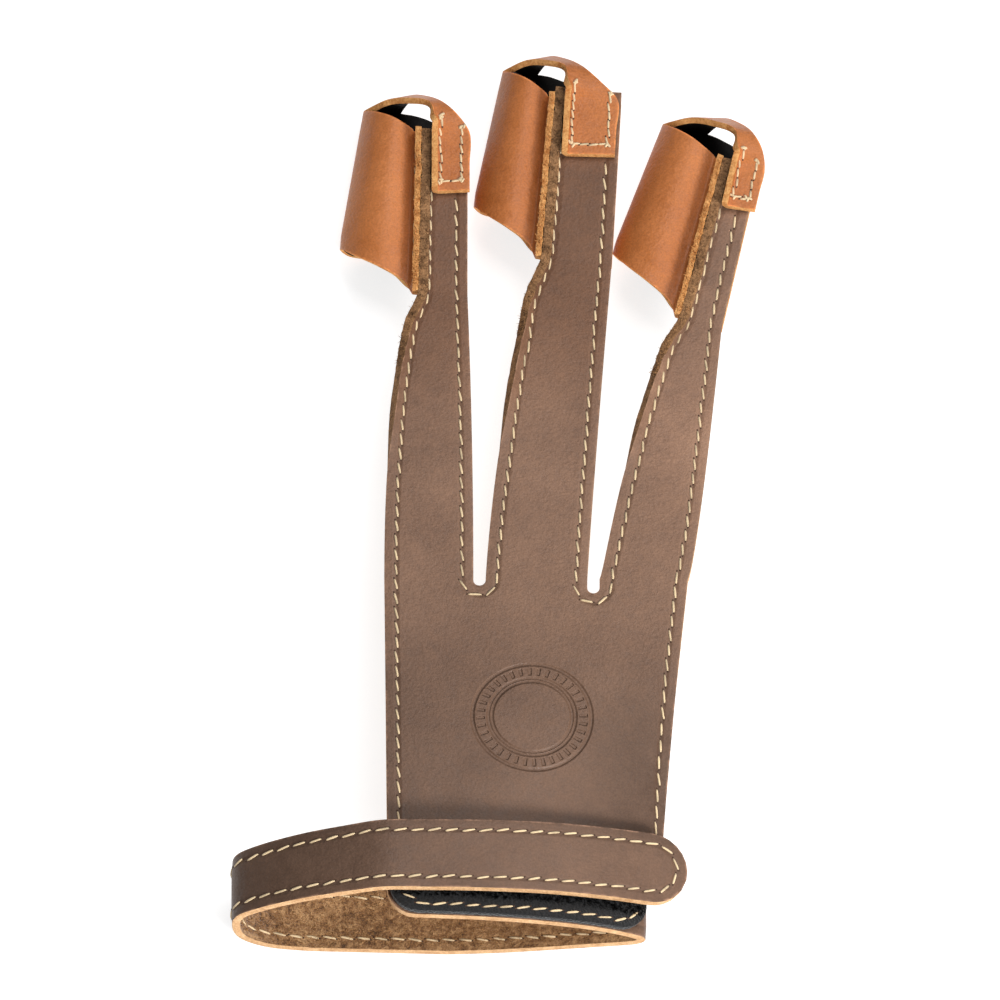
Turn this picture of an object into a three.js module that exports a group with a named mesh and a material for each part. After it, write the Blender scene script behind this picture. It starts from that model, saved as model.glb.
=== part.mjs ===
// A three-finger archery glove of leather, lying on a table with its wrist strap closed into a loop.
// Millimetres: +X runs across the hand, +Y from the wrist to the fingertips and +Z up from the table.
// Each piece is a sheet: a grid on the sheet's middle surface, laid out by a formula, then thickened.
// Until the glove is centred at the end, x is 0 at the panel's left edge and y is 0 at its wrist edge.
import * as THREE from "three";

// Sheets
const backLeather = 2.0;
const stallLeather = 1.3;
const linerSheet = 0.6;
const loopTapeSheet = 1.5;
const hookTapeSheet = 1.2;
const seamGap = 0.35;
const linerGap = 0.5;
const foldGap = 0.85; // between the panel and the strap, where both bend

// The back panel as it is cut: a palm that flares from the wrist to the slots between the fingers
const wristWidth = 57.8;
const knuckleWidth = 64.4;
const palmLength = 79.5;
const cornerRadius = 6;
const slotRadius = 1.3;
const wristInset = 0.8;
const palmHeight = 21;
const knuckleHeight = 16.7;
// x: share of knuckleWidth. crotch: share of palmLength.
const slots = [
  { x: 0.3137, crotch: 1 },
  { x: 0.6887, crotch: 0.976 },
];

// The finger strips and their stalls. A stall's mouth is where its seam starts, nearest the wrist.
const mouthReach = 159.9;
const stripWidth = 12.5;
const stripHeight = 11.5;
const turnedMargin = 3.2;
const turnRadius = 1.5;
const seamLength = 39.5;
const seamFlange = 2.6;
const stallWidth = 30.7;
const mouthRise = 15.3;
const tipRise = 8.5;
const tabLength = 15.8;
const tabOverhang = 1.6;
const tabInset = 0.6;
// x: share of knuckleWidth. y: share of mouthReach. lean: degrees. mouthStrip, tipStrip: shares of
// stripWidth. mouth, tip: shares of stallWidth. rise, lip: shares of mouthRise and tipRise.
// tab, overhang: shares of tabLength and tabOverhang. sway, taper, skew: exponents of smooth changes.
const fingers = [
  { name: "index", x: 0.273, y: 0.952, lean: 0, sway: 2, taper: 2.4, mouthStrip: 0.632, tipStrip: 0.576,
    mouth: 0.9, tip: 0.73, rise: 0.935, lip: 0.96, tab: 1, overhang: 0.3, skew: 0.49 },
  { name: "middle", x: 0.752, y: 1, lean: 3.1, sway: 1.1, taper: 2, mouthStrip: 1, tipStrip: 0.928,
    mouth: 1, tip: 0.847, rise: 1, lip: 1.05, tab: 0.95, overhang: -0.4, skew: 0.42 },
  { name: "ring", x: 1.1165, y: 0.904, lean: 12, sway: 0.78, taper: 1.9, mouthStrip: 0.512, tipStrip: 0.424,
    mouth: 0.892, tip: 0.749, rise: 1.026, lip: 1.06, tab: 0.76, overhang: 0.9, skew: 0.65 },
].map((finger) => ({
  ...finger,
  mouthX: finger.x * knuckleWidth,
  mouthY: finger.y * mouthReach,
  mouthStrip: finger.mouthStrip * stripWidth,
  tipStrip: finger.tipStrip * stripWidth,
  mouthWidth: finger.mouth * stallWidth,
  tipWidth: finger.tip * stallWidth,
  mouthRise: finger.rise * mouthRise,
  tipRise: finger.lip * tipRise,
  tabLength: finger.tab * tabLength,
  tabOverhang: finger.overhang * tabOverhang,
}));

// The wrist: the panel arches over it, folds under at its right edge and comes back round as the strap
const archWidth = 53.1;
const archHeight = 21.5;
const loopWidth = 85.5;
const strapWidth = 15.4;
const strapRise = 5.2;
const strapTail = 15.8;
const loopTapeWidth = 12.5;
const hookTapeInset = 1.5;

// The arch from the panel's left edge to the fold, as shares of archWidth and archHeight
const archRows = [
  { across: 0, height: 1 },
  { across: 0.147, height: 0.977 },
  { across: 0.316, height: 0.944 },
  { across: 0.467, height: 0.898 },
  { across: 0.665, height: 0.81 },
  { across: 0.863, height: 0.67 },
  { across: 1, height: 0.507 },
];
// The strap from the fold, along the table and up round the left end. Shares of loopWidth and archHeight.
const strapRows = [
  { back: 0, height: 0.447 },
  { back: 0.012, height: 0.388 },
  { back: 0.04, height: 0.355 },
  { back: 0.101, height: 0.305 },
  { back: 0.198, height: 0.225 },
  { back: 0.346, height: 0.112 },
  { back: 0.487, height: 0.045 },
  { back: 0.65, height: 0 },
  { back: 0.814, height: 0.045 },
  { back: 0.925, height: 0.12 },
  { back: 0.984, height: 0.29 },
  { back: 1, height: 0.52 },
  { back: 0.99, height: 0.7 },
  { back: 0.94, height: 0.855 },
  { back: 0.841, height: 1.04 },
  { back: 0.718, height: 1.19 },
];
// The free end, past the arch: shares of strapTail along it and of archHeight
const tailRows = [
  { along: 0.4, height: 0.81 },
  { along: 1, height: 0.65 },
];
// The strap's width along its length, both as shares
const strapWidths = [
  { along: 0, width: 0.92 },
  { along: 0.25, width: 0.89 },
  { along: 0.48, width: 0.9 },
  { along: 0.58, width: 0.99 },
  { along: 0.66, width: 1.02 },
  { along: 1, width: 1.05 },
];

// A stall round the finger, from its left seam over the bulge, along the table and up to its right seam.
// under: share of the width under the strip. bulge: share of the width left of the seam.
// height: share of stripHeight. mouth and tip: shares of mouthRise and tipRise.
const stallRows = [
  { under: 1, bulge: 0.08, height: 0.86, mouth: 0.18, tip: 0.1 },
  { under: 1, bulge: 0.25, height: 0.95, mouth: 0.34, tip: 0.22 },
  { under: 1, bulge: 0.5, height: 1, mouth: 0.49, tip: 0.42 },
  { under: 1, bulge: 0.8, height: 0.86, mouth: 0.71, tip: 0.67 },
  { under: 1, bulge: 1, height: 0.5, mouth: 0.97, tip: 0.93 },
  { under: 1, bulge: 0.87, height: 0.16, mouth: 1, tip: 1.04 },
  { under: 1, bulge: 0.4, height: 0.05, mouth: 0.98, tip: 1.1 },
  { under: 0.6, bulge: 0, height: 0.05, mouth: 0.72, tip: 0.76 },
  { under: 0.35, bulge: 0, height: 0.22, mouth: 0.35, tip: 0.3 },
  { under: 0.27, bulge: 0, height: 0.55, mouth: 0.08, tip: 0.12 },
];
const tongueFirstRow = 4; // the tongue grows out of the rim between these two rows of stallRows
const tongueLastRow = 6;
const linerFirstRow = 1;
const linerLastRow = 9;
// The tongue from the rim, over the fingertip and down onto the strip, by its left and right edges.
// swing: share of the way from the tab to the rim's side. height: share of the tab's height.
// along: share of tipRise past the seam's end, or if negative of tabLength before it.
const tongueRows = [
  { swing: 0.69, along: 1.03, height: 0.667, swingRight: 0.71, alongRight: 1.36, heightRight: 0.37 },
  { swing: 0.41, along: 0.88, height: 0.89, swingRight: 0.35, alongRight: 1.04, heightRight: 0.78 },
  { swing: 0.13, along: 0.62, height: 1.07, swingRight: 0.14, alongRight: 0.7, heightRight: 0.98 },
  { swing: 0, along: 0.13, height: 1.08, swingRight: 0.03, alongRight: 0.32, heightRight: 1.03 },
  { swing: 0, along: -0.12, height: 1, swingRight: 0, alongRight: -0.1, heightRight: 1 },
  { swing: 0, along: -0.55, height: 1, swingRight: 0, alongRight: -0.54, heightRight: 1 },
  { swing: 0, along: -1, height: 1, swingRight: 0, alongRight: -0.98, heightRight: 1 },
];

// Fineness of the grids
const palmCells = [4, 5, 8];
const marginCells = 3;
const strapCells = 3;
const stallCells = 5;
const longestStep = 7;
const sharpestTurn = THREE.MathUtils.degToRad(16);

const brownLeather = new THREE.MeshStandardMaterial({ color: 0x8b6f62, roughness: 0.5, metalness: 0 });
const tanLeather = new THREE.MeshStandardMaterial({ color: 0xc0733f, roughness: 0.5, metalness: 0 });
const blackNylon = new THREE.MeshStandardMaterial({ color: 0x17181a, roughness: 0.8, metalness: 0 });
const blackTape = new THREE.MeshStandardMaterial({ color: 0x202328, roughness: 1, metalness: 0 });

const vector = (x, y, z) => new THREE.Vector3(x, y, z);
const mix = THREE.MathUtils.lerp;
const ease = THREE.MathUtils.smoothstep;

// A closed solid from a sheet's middle surface. Grids are arrays of rows of points, and where two
// grids hold the same point they are joined there.
function thickenSheet(grids, thickness) {
  const points = [];
  const indexOf = new Map();
  const triangles = [];
  const place = (p) => {
    const key = [p.x, p.y, p.z].map((c) => Math.round(c * 1e4)).join();
    if (!indexOf.has(key)) indexOf.set(key, points.push(p) - 1);
    return indexOf.get(key);
  };
  const addTriangle = (a, b, c) => {
    if (a !== b && b !== c && c !== a) triangles.push([a, b, c]);
  };
  for (const grid of grids) {
    const numbered = grid.map((row) => row.map(place));
    for (let j = 0; j + 1 < grid.length; j++) {
      for (let i = 0; i + 1 < grid[j].length; i++) {
        const [a, b] = [numbered[j][i], numbered[j][i + 1]];
        const [d, c] = [numbered[j + 1][i], numbered[j + 1][i + 1]];
        addTriangle(a, b, c);
        addTriangle(a, c, d);
      }
    }
  }
  const normals = points.map(() => vector(0, 0, 0));
  const loose = new Map(); // edges that belong to one triangle only, which get a wall
  for (const [a, b, c] of triangles) {
    const ab = points[b].clone().sub(points[a]);
    const facing = ab.cross(points[c].clone().sub(points[a]));
    for (const [from, to] of [[a, b], [b, c], [c, a]]) {
      normals[from].add(facing);
      if (!loose.delete(`${to},${from}`)) loose.set(`${from},${to}`, [from, to]);
    }
  }
  const upper = points.map((p, i) => p.clone().addScaledVector(normals[i].normalize(), thickness / 2));
  const lower = points.map((p, i) => p.clone().addScaledVector(normals[i], -thickness / 2));
  const faces = [];
  for (const [a, b, c] of triangles) {
    faces.push(upper[a], upper[b], upper[c]);
    faces.push(lower[a], lower[c], lower[b]);
  }
  for (const [from, to] of loose.values()) {
    faces.push(lower[from], lower[to], upper[to]);
    faces.push(lower[from], upper[to], upper[from]);
  }
  const geometry = new THREE.BufferGeometry().setFromPoints(faces);
  geometry.computeVertexNormals();
  return geometry;
}

// A smooth line through points, walked by its length. Where it would dip under floorHeight it lies flat.
function smoothLine(points, floorHeight) {
  const curve = new THREE.CatmullRomCurve3(points, false, "centripetal");
  curve.arcLengthDivisions = 40 * points.length;
  const length = curve.getLength();
  const at = (distance) => {
    const p = curve.getPointAt(THREE.MathUtils.clamp(distance / length, 0, 1));
    p.z = Math.max(p.z, floorHeight);
    return p;
  };
  const normalAt = (distance) => {
    const reach = 0.2;
    const ahead = at(Math.min(distance + reach, length));
    const along = ahead.sub(at(Math.max(distance - reach, 0))).normalize();
    return vector(-along.z, 0, along.x);
  };
  // Distances between two places on the line, closer together where it bends
  const stations = (from, to) => {
    const found = [from];
    let last = from;
    for (let d = from; d < to; d += 0.25) {
      if (d - last > longestStep || normalAt(d).angleTo(normalAt(last)) > sharpestTurn) {
        found.push(d);
        last = d;
      }
    }
    return [...found, to];
  };
  return { length, at, normalAt, stations };
}

// The line of the wrist in the XZ plane: over the arch, under the fold, round and over the arch again
const tapeStack = backLeather + loopTapeSheet + hookTapeSheet + 3 * seamGap;
const arch = archRows.map((row) => vector(row.across * archWidth, 0, row.height * archHeight));
const foldX = archWidth + 1.3;
const strap = strapRows.map((row) => vector(foldX - row.back * loopWidth, 0, row.height * archHeight));
const archLine = smoothLine(arch, 0);
const overArch = arch.slice(0, -1).map((p) => {
  const distance = (p.x / archWidth) * archLine.length;
  return p.clone().addScaledVector(archLine.normalAt(distance), tapeStack);
});
const tailStart = overArch[overArch.length - 1];
const tail = tailRows.map((row) => vector(tailStart.x + row.along * strapTail, 0, row.height * archHeight));
const wrist = smoothLine([...arch, ...strap, ...overArch, ...tail], backLeather / 2);

// The strap's edges at a distance along the wrist line, before its end is rounded
const strapLength = wrist.length - wristWidth;
function strapEdges(distance) {
  const share = THREE.MathUtils.clamp((distance - wristWidth) / strapLength, 0, 1);
  const next = Math.max(1, strapWidths.findIndex((row) => row.along >= share));
  const [a, b] = [strapWidths[next - 1], strapWidths[next]];
  const width = strapWidth * mix(a.width, b.width, (share - a.along) / (b.along - a.along));
  const low = strapRise * share;
  return { low, high: low + width };
}
const strapRoot = strapEdges(wristWidth).high;

// The middle surface of the palm, bent from the flat pattern at x, y
function palmPoint(x, y) {
  const bent = wrist.at(x);
  const unrolled = ease(y, strapRoot - 2, strapRoot + 8);
  const lifted = ease(y, strapRoot, strapRoot + 48);
  const rootY = knuckleLine();
  const flatHeight = mix(palmHeight, knuckleHeight, (y - strapRoot) / (rootY - strapRoot));
  return vector(mix(bent.x, x, unrolled), y, mix(bent.z, flatHeight, lifted));
}
function knuckleLine() {
  return Math.max(...slots.map((slot) => slot.crotch * palmLength)) + 1.2 * slotRadius;
}

// Distances from a strip's right edge to its left one, with narrow cells in the margin that turns up
function acrossCells(width, cells, power) {
  const flat = width - turnedMargin;
  const distances = [];
  for (let i = 0; i <= cells; i++) distances.push(flat * (i / cells) ** power);
  for (let i = 1; i <= marginCells; i++) distances.push(flat + (turnedMargin * i) / marginCells);
  return distances;
}
const cellPower = (column) => (column === 2 ? 1.25 : 1);

// The palm's borders at a level y: left and right edge of each of its three columns
function palmBorders(y) {
  const inCorner = Math.min(y, cornerRadius);
  const corner = cornerRadius - Math.sqrt(cornerRadius ** 2 - (cornerRadius - inCorner) ** 2);
  const flare = Math.max(0, (y - strapRoot) / (knuckleLine() - strapRoot));
  const left = corner + mix(wristInset, 0, flare);
  const right = mix(wristWidth, knuckleWidth, flare);
  const half = slots.map((slot) => {
    const above = THREE.MathUtils.clamp(y - slot.crotch * palmLength, 0, slotRadius);
    return Math.sqrt(slotRadius ** 2 - (slotRadius - above) ** 2);
  });
  const slotX = slots.map((slot) => slot.x * knuckleWidth);
  return [
    [left, slotX[0] - half[0]],
    [slotX[0] + half[0], slotX[1] - half[1]],
    [slotX[1] + half[1], right],
  ];
}

function palmLevels() {
  const levels = [];
  const arc = (radius, start) => {
    for (const turn of [0, 45, 90]) {
      levels.push(start + radius * (1 - Math.cos(THREE.MathUtils.degToRad(turn))));
    }
  };
  arc(cornerRadius, 0);
  for (const slot of slots) arc(slotRadius, slot.crotch * palmLength);
  const firstCrotch = Math.min(...slots.map((slot) => slot.crotch * palmLength));
  levels.push((cornerRadius + strapRoot) / 2, strapRoot, knuckleLine());
  for (const share of [0.05, 0.1, 0.16, 0.26, 0.4, 0.55, 0.7, 0.85]) {
    levels.push(mix(strapRoot, firstCrotch, share));
  }
  return levels.sort((a, b) => a - b).filter((y, i) => i === 0 || y - levels[i - 1] > 0.05);
}

// A finger's own frame: across is 0 at the strip's right edge and along is 0 at the stall's mouth
function fingerPoint(finger, across, along, height) {
  const lean = THREE.MathUtils.degToRad(finger.lean);
  const x = finger.mouthX + across * Math.cos(lean) + along * Math.sin(lean);
  const y = finger.mouthY - across * Math.sin(lean) + along * Math.cos(lean);
  return vector(x, y, height);
}

// A row of the strip from its right edge to its left, where the margin turns up to meet the stall's seam
function stripRow(finger, column, along) {
  const [rootLeft, rootRight] = palmBorders(knuckleLine())[column];
  const share = Math.min(1, 1 + along / (finger.mouthY - knuckleLine()));
  const widest = rootRight - rootLeft;
  const seamStrip = mix(finger.mouthStrip, finger.tipStrip, Math.max(0, along) / seamLength);
  const width = mix(widest, seamStrip + turnedMargin, share ** finger.taper);
  const tilt = THREE.MathUtils.degToRad(finger.lean) * ease(share, 0, 1);
  const turn = (Math.PI / 2) * ease(share, 0.8, 1);
  const height = mix(knuckleHeight, stripHeight, share);
  const start = along > 0
    ? fingerPoint(finger, 0, along, height)
    : vector(mix(rootRight, finger.mouthX, share ** finger.sway), finger.mouthY + along, height);
  const bendLength = (turnRadius * Math.PI) / 2;
  return acrossCells(width, palmCells[column], cellPower(column)).map((distance) => {
    const past = Math.max(0, distance - (width - turnedMargin));
    const inBend = Math.min(past, bendLength);
    const beyond = past - inBend;
    let [out, up] = [inBend, 0];
    if (turn > 0.01) {
      const radius = bendLength / turn;
      out = radius * Math.sin(inBend / radius);
      up = radius * (1 - Math.cos(inBend / radius));
    }
    out += beyond * Math.cos(turn) + distance - past;
    up += beyond * Math.sin(turn);
    return vector(start.x - out * Math.cos(tilt), start.y + out * Math.sin(tilt), start.z + up);
  });
}

function backPanel() {
  const grids = fingers.map((finger, column) => {
    const grid = palmLevels().map((y) => {
      const [left, right] = palmBorders(y)[column];
      const cells = acrossCells(right - left, palmCells[column], cellPower(column));
      return cells.map((distance) => palmPoint(right - distance, y));
    });
    const reach = finger.mouthY - knuckleLine();
    for (const share of [0.15, 0.3, 0.43, 0.55, 0.66, 0.75, 0.83, 0.9, 0.96]) {
      grid.push(stripRow(finger, column, (share - 1) * reach));
    }
    for (const share of [0, 0.25, 0.5, 0.75, 1]) {
      grid.push(stripRow(finger, column, share * (seamLength - 0.5)));
    }
    return grid;
  });
  return thickenSheet(grids, backLeather);
}

function wristStrap() {
  const start = wristWidth + foldGap;
  const tipRadius = (strapEdges(wrist.length).high - strapRise) / 2;
  const roundStart = wrist.length - tipRadius;
  const grid = wrist.stations(start, roundStart).map((distance) => {
    const { low, high } = strapEdges(distance);
    return strapColumn(distance, low, high);
  });
  const middle = (strapEdges(roundStart).high + strapEdges(roundStart).low) / 2;
  for (const turn of [25, 50, 70, 90]) {
    const angle = THREE.MathUtils.degToRad(turn);
    const half = ((strapEdges(roundStart).high - strapEdges(roundStart).low) / 2) * Math.cos(angle);
    grid.push(strapColumn(roundStart + tipRadius * Math.sin(angle), middle - half, middle + half));
  }
  return thickenSheet([grid], backLeather);
}
function strapColumn(distance, low, high) {
  const p = wrist.at(distance);
  const column = [];
  for (let i = 0; i <= strapCells; i++) column.push(vector(p.x, mix(low, high, i / strapCells), p.z));
  return column;
}

// A tape sewn to the wrist line at an offset: its edges are given at each distance along the line
function tape(from, to, offset, edges, thickness) {
  const stations = wrist.stations(from, to);
  const rounded = [0.15, 0.5].map((share) => share * cornerRadius);
  const distances = [...stations, ...rounded.map((r) => from + r), ...rounded.map((r) => to - r)];
  const grid = distances.sort((a, b) => a - b).map((distance) => {
    const p = wrist.at(distance).addScaledVector(wrist.normalAt(distance), offset);
    const { low, high } = edges(distance);
    return [0, 0.5, 1].map((share) => vector(p.x, mix(low, high, share), p.z));
  });
  return thickenSheet([grid], thickness);
}

// The loop tape covers the panel's wrist edge, whose rounded corner it shares
function loopTape() {
  const [from, to] = [wristInset + 0.5, archLine.length + 0.8];
  const offset = backLeather / 2 + seamGap + loopTapeSheet / 2;
  const edges = (distance) => {
    const fromEnd = Math.min(distance - from, to - distance, cornerRadius);
    const cut = cornerRadius - Math.sqrt(cornerRadius ** 2 - (cornerRadius - fromEnd) ** 2);
    return { low: Math.min(cut, loopTapeWidth - 1), high: loopTapeWidth };
  };
  return tape(from, to, offset, edges, loopTapeSheet);
}

// The hook tape lies under the strap's end, on the loop tape
function hookTape() {
  const overStart = wrist.length - archLine.length - 0.6 * strapTail;
  const [from, to] = [overStart + 0.12 * archLine.length, overStart + 0.88 * archLine.length];
  const offset = -(backLeather / 2 + seamGap + hookTapeSheet / 2);
  const edges = (distance) => {
    const { low, high } = strapEdges(distance);
    return { low: low + hookTapeInset, high: high - hookTapeInset };
  };
  return tape(from, to, offset, edges, hookTapeSheet);
}

// The line of a stall round the finger in its own frame, at the mouth (end 0) or at the tip (end 1).
// Each row gives across and height, and how far the edge lies past the seam's end.
const seamOffset = backLeather / 2 + seamGap + stallLeather / 2;
function stallSection(finger, end) {
  const strip = end === 0 ? finger.mouthStrip : finger.tipStrip;
  const seamAcross = strip + turnRadius + seamOffset;
  const width = end === 0 ? finger.mouthWidth : finger.tipWidth;
  const bulge = width - stallLeather / 2 - seamAcross;
  const rise = end === 0 ? finger.mouthRise : finger.tipRise;
  const seamTop = stripHeight + turnRadius + turnedMargin - (turnRadius * Math.PI) / 2;
  const section = [
    vector(-seamAcross, 0, seamTop),
    vector(-seamAcross, 0, stripHeight),
  ];
  for (const row of stallRows) {
    const across = -(row.under * seamAcross + row.bulge * bulge);
    section.push(vector(across, rise * (end === 0 ? row.mouth : row.tip), row.height * stripHeight));
  }
  section.push(vector(-seamFlange, 0, stripHeight - seamOffset - 0.1 * seamFlange));
  section.push(vector(0, 0, stripHeight - seamOffset));
  return section;
}
const seamRows = 2; // rows of the left seam, before those of stallRows

// Points round a stall's edge, two steps to a row, each with the direction out of the stall
function stallEdge(finger, end, fromRow, toRow, inset, endInset) {
  const section = stallSection(finger, end);
  const curve = new THREE.CatmullRomCurve3(section, false, "centripetal");
  const steps = 2 * (section.length - 1);
  const edge = [];
  for (let step = 2 * fromRow; step <= 2 * toRow; step++) {
    const p = curve.getPoint(step / steps);
    const along = curve.getTangent(step / steps).setY(0).normalize();
    p.z = Math.max(p.z, stallLeather / 2);
    p.x -= inset * along.z;
    p.z += inset * along.x;
    p.y += end === 0 ? endInset : seamLength - endInset;
    edge.push(p);
  }
  return edge;
}

function stallSheet(finger, fromRow, toRow, inset, endInset, cells) {
  const mouth = stallEdge(finger, 0, fromRow, toRow, inset, endInset);
  const tip = stallEdge(finger, 1, fromRow, toRow, inset, endInset);
  const grid = [];
  for (let j = 0; j <= cells; j++) {
    grid.push(mouth.map((p, i) => {
      const q = p.clone().lerp(tip[i], j / cells);
      return fingerPoint(finger, q.x, q.y, q.z);
    }));
  }
  return grid;
}

function stall(finger) {
  const body = stallSheet(finger, 0, stallRows.length + seamRows + 1, 0, 0, stallCells);
  const [first, last] = [tongueFirstRow, tongueLastRow].map((row) => 2 * (row + seamRows));
  const rim = body[stallCells].slice(first, last + 1);
  const tabHeight = stripHeight + seamOffset;
  const tabLeft = tabInset - finger.tipStrip;
  const rimLeft = stallLeather / 2 - finger.tipWidth;
  const rimRight = stallEdge(finger, 1, tongueLastRow + seamRows, tongueLastRow + seamRows, 0, 0)[0].x;
  const place = (along) => seamLength + along * (along < 0 ? finger.tabLength : finger.tipRise);
  const edges = [
    { left: rim[0], right: rim[rim.length - 1] },
    ...tongueRows.map((row) => ({
      left: fingerPoint(finger, mix(tabLeft, rimLeft, row.swing), place(row.along), row.height * tabHeight),
      right: fingerPoint(finger, mix(finger.tabOverhang, rimRight, row.swingRight ** finger.skew),
        place(row.alongRight), row.heightRight * tabHeight),
    })),
  ];
  const [leftEdge, rightEdge] = ["left", "right"].map(
    (side) => new THREE.CatmullRomCurve3(edges.map((edge) => edge[side]), false, "centripetal"));
  const tongue = [rim];
  const steps = 2 * tongueRows.length;
  for (let step = 1; step <= steps; step++) {
    const [left, right] = [leftEdge.getPoint(step / steps), rightEdge.getPoint(step / steps)];
    tongue.push(rim.map((p, i) => left.clone().lerp(right, i / (rim.length - 1))));
  }
  return thickenSheet([body, tongue], stallLeather);
}

function liner(finger) {
  const inset = stallLeather / 2 + linerGap + linerSheet / 2;
  const [first, last] = [linerFirstRow + seamRows, linerLastRow + seamRows];
  return thickenSheet([stallSheet(finger, first, last, inset, 1, 3)], linerSheet);
}

const glove = new THREE.Group();
function addPiece(name, geometry, material) {
  const piece = new THREE.Mesh(geometry, material);
  piece.name = name;
  glove.add(piece);
}
addPiece("back_panel", backPanel(), brownLeather);
addPiece("wrist_strap", wristStrap(), brownLeather);
addPiece("loop_tape", loopTape(), blackTape);
addPiece("hook_tape", hookTape(), blackTape);
for (const finger of fingers) {
  addPiece(`stall_${finger.name}`, stall(finger), tanLeather);
  addPiece(`liner_${finger.name}`, liner(finger), blackNylon);
}

// The origin is the middle of the glove's footprint, on the table
const bounds = new THREE.Box3().setFromObject(glove);
const centre = bounds.getCenter(vector(0, 0, 0));
glove.position.set(-centre.x, -centre.y, -bounds.min.z);

export default glove;
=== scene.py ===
# A three-finger archery glove of leather, lying on a pale floor with its wrist strap closed into a loop.
# Shapes are worked out in millimetres on the middle of each leather sheet, with x = 0 at the panel's
# left edge and y = 0 at its wrist edge. toScene turns them into metres in the frame of the CAD model.
import bpy
import bmesh
import math
import random
from bisect import bisect_right
from mathutils import Matrix, Vector, noise
from mathutils.bvhtree import BVHTree
from mathutils.kdtree import KDTree


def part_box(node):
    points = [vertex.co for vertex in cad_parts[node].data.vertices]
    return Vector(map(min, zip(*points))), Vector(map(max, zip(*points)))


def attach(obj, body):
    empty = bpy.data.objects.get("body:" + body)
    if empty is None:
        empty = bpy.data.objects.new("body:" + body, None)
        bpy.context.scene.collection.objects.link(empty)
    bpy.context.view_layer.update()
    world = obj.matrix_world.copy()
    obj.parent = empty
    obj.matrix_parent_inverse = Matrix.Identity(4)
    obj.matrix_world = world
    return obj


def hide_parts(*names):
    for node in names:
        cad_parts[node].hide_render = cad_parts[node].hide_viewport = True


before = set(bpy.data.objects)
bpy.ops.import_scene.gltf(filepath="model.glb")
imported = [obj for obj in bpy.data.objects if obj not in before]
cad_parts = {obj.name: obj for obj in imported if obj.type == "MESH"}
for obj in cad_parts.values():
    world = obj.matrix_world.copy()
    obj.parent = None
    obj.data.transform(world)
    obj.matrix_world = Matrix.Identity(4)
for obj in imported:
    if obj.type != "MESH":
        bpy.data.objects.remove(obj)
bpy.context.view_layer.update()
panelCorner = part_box("back_panel")[0] * 1000
dice = random.Random(7)
noise.seed_set(7)  # or each run's ragged edges differ


def toScene(point):
    return Vector((point[0] + panelCorner.x, point[1] + panelCorner.y, point[2])) / 1000


def mix(a, b, share):
    return a + (b - a) * share


def clamp(value, low=0, high=1):
    return min(max(value, low), high)


def ease(value, low, high):
    share = clamp((value - low) / (high - low))
    return share * share * (3 - 2 * share)


def spread(low, high, step):  # evenly spaced values, no further apart than step
    cells = max(1, math.ceil((high - low) / step))
    return [mix(low, high, i / cells) for i in range(cells + 1)]


# A point on the smooth curve through some points, at a share of their number
def curvePoint(points, share):
    last = len(points) - 1
    place = clamp(share) * last
    i = min(int(place), last - 1)
    t = place - i
    p1, p2 = points[i], points[i + 1]
    p0 = points[i - 1] if i > 0 else 2 * p1 - p2
    p3 = points[i + 2] if i + 2 <= last else 2 * p2 - p1
    d0, d1, d2 = [max((b - a).length, 1e-4) ** 0.5 for a, b in ((p0, p1), (p1, p2), (p2, p3))]
    m1 = ((p1 - p0) / d0 - (p2 - p0) / (d0 + d1) + (p2 - p1) / d1) * d1
    m2 = ((p2 - p1) / d1 - (p3 - p1) / (d1 + d2) + (p3 - p2) / d2) * d1
    t2, t3 = t * t, t * t * t
    return (2 * t3 - 3 * t2 + 1) * p1 + (t3 - 2 * t2 + t) * m1 + (3 * t2 - 2 * t3) * p2 + (t3 - t2) * m2


# A line that can be walked by its length. Where it would dip under the floor height it lies flat.
def measuredLine(points, floorHeight):
    steps = 40 * (len(points) - 1)
    dots = [curvePoint(points, i / steps) for i in range(steps + 1)]
    marks = [0.0]
    for a, b in zip(dots, dots[1:]):
        marks.append(marks[-1] + (b - a).length)
    for dot in dots:
        dot.z = max(dot.z, floorHeight)
    return {"dots": dots, "marks": marks, "length": marks[-1]}


def lineAt(line, distance):
    distance = clamp(distance, 0, line["length"])
    i = min(bisect_right(line["marks"], distance), len(line["marks"]) - 1)
    before, after = line["marks"][i - 1], line["marks"][i]
    return line["dots"][i - 1].lerp(line["dots"][i], (distance - before) / (after - before))


def lineNormal(line, distance, reach=0.6):
    along = lineAt(line, distance + reach) - lineAt(line, distance - reach)
    return Vector((-along.z, 0, along.x)).normalized()


# A grid of the given values, each point placed by a formula. place(across, along)
def addSheet(mesh, acrossValues, alongValues, place):
    across, along = len(acrossValues) - 1, len(alongValues) - 1
    grid = bmesh.ops.create_grid(mesh, x_segments=across, y_segments=along, size=0.5)
    for vert in grid["verts"]:
        i = round((vert.co.x + 0.5) * across)
        j = round((vert.co.y + 0.5) * along)
        vert.co = place(acrossValues[i], alongValues[j])
    return grid["verts"]


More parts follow.
